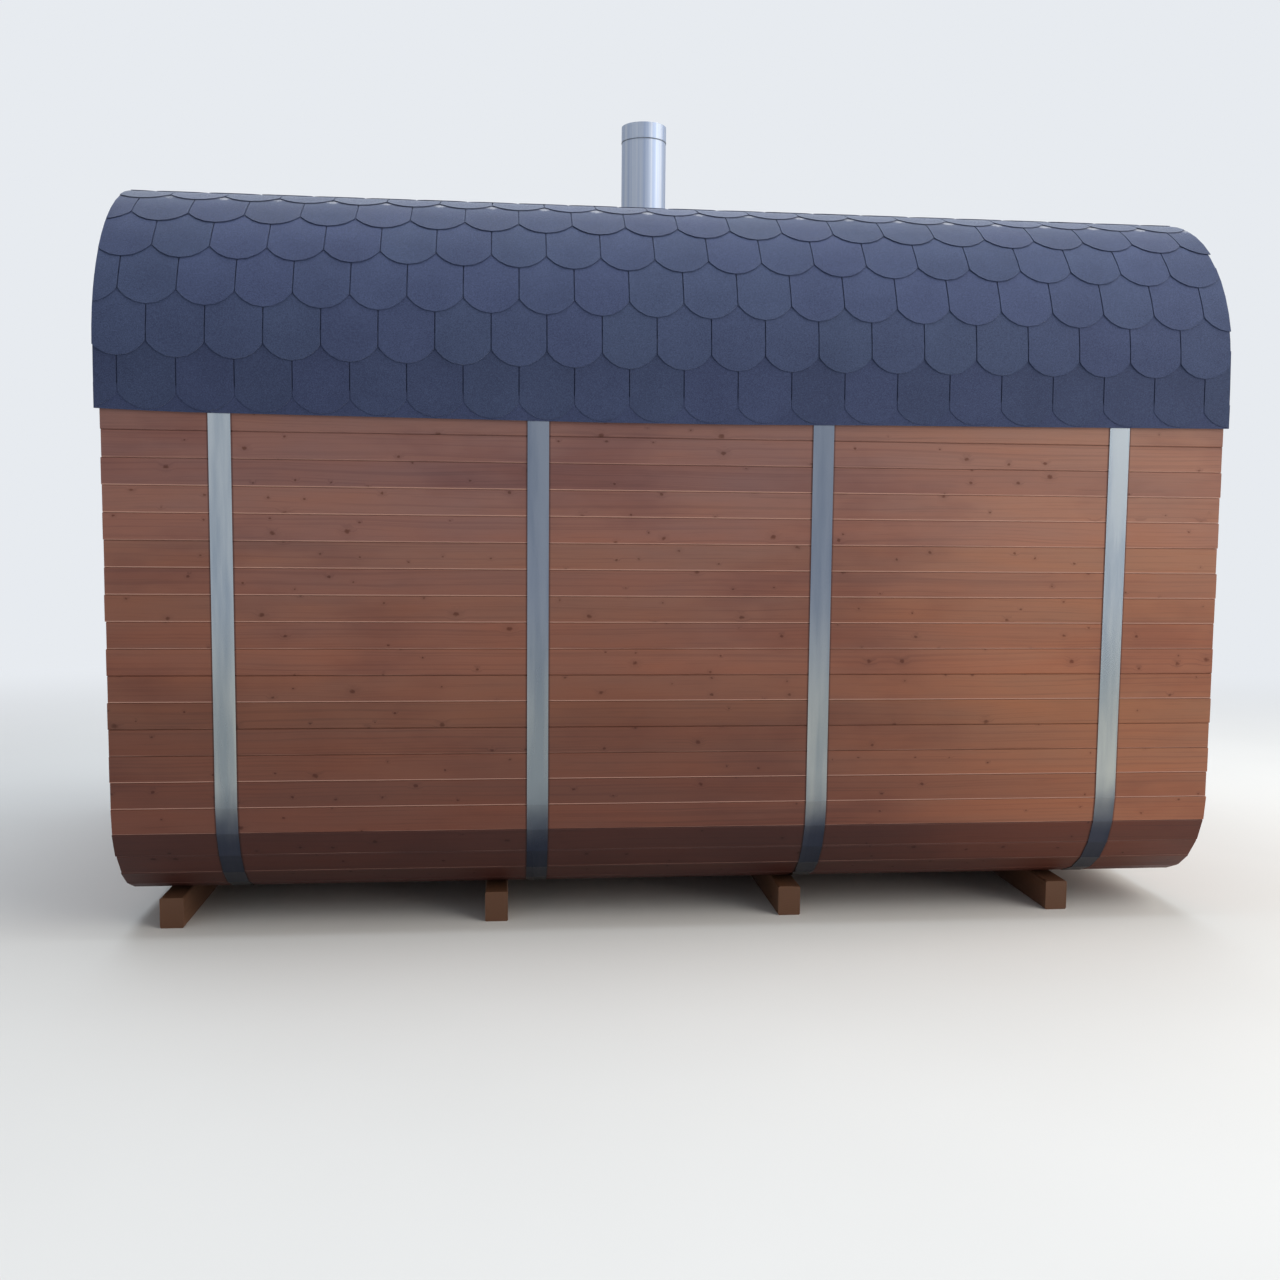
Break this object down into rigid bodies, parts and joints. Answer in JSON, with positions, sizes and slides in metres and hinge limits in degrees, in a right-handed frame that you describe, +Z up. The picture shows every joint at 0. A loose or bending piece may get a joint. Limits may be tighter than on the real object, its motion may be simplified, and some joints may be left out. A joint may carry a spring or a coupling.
{
  "type": "cube sauna",
  "caption": "Timber sauna hut of rounded-square section, steel banded, with a shingled crown, a chimney and foot beams.",
  "frame": {"origin": "ground level under the middle of the sauna", "axes": "+Z up; X along the length, the door in the +X end; the pictured long side faces -Y"},
  "size_m": [4.134, 2.481, 3.28],
  "materials": {
    "stained_spruce": "spruce with a red-brown stain, satin",
    "oiled_beam": "orange-brown stained beam",
    "door_wood": "planed and stained",
    "handle_wood": "oiled",
    "door_glass": "toughened, lightly bronzed",
    "hinge_metal": "black powder coat",
    "band_steel": "plain cold-rolled stainless strap",
    "chimney_steel": "stainless sheet",
    "bitumen_shingle": "slate-blue mineral granules on bitumen"
  },
  "bodies": {
    "root": {"blind_end_boards": "stained_spruce", "chimney_ceiling_plate": "chimney_steel", "chimney_flashing": "chimney_steel", "chimney_flue": "chimney_steel", "chimney_sleeve": "chimney_steel", "chimney_top_ring": "chimney_steel", "door_end_boards": "stained_spruce", "door_frame": "door_wood", "door_glass": "door_glass", "door_handle": "handle_wood", "door_hinges": "hinge_metal", "door_leaf": "door_wood", "far_lower_corner_staves": "stained_spruce", "far_shingle_courses": "bitumen_shingle", "far_upper_corner_staves": "stained_spruce", "far_wall_staves": "stained_spruce", "floor_staves": "stained_spruce", "foot_beam_1": "oiled_beam", "foot_beam_2": "oiled_beam", "foot_beam_3": "oiled_beam", "foot_beam_4": "oiled_beam", "near_lower_corner_staves": "stained_spruce", "near_shingle_courses": "bitumen_shingle", "near_upper_corner_staves": "stained_spruce", "near_wall_staves": "stained_spruce", "ridge_cap": "bitumen_shingle", "roof_staves": "stained_spruce", "steel_band_1": "band_steel", "steel_band_2": "band_steel", "steel_band_3": "band_steel", "steel_band_4": "band_steel"}
  },
  "joints": []
}
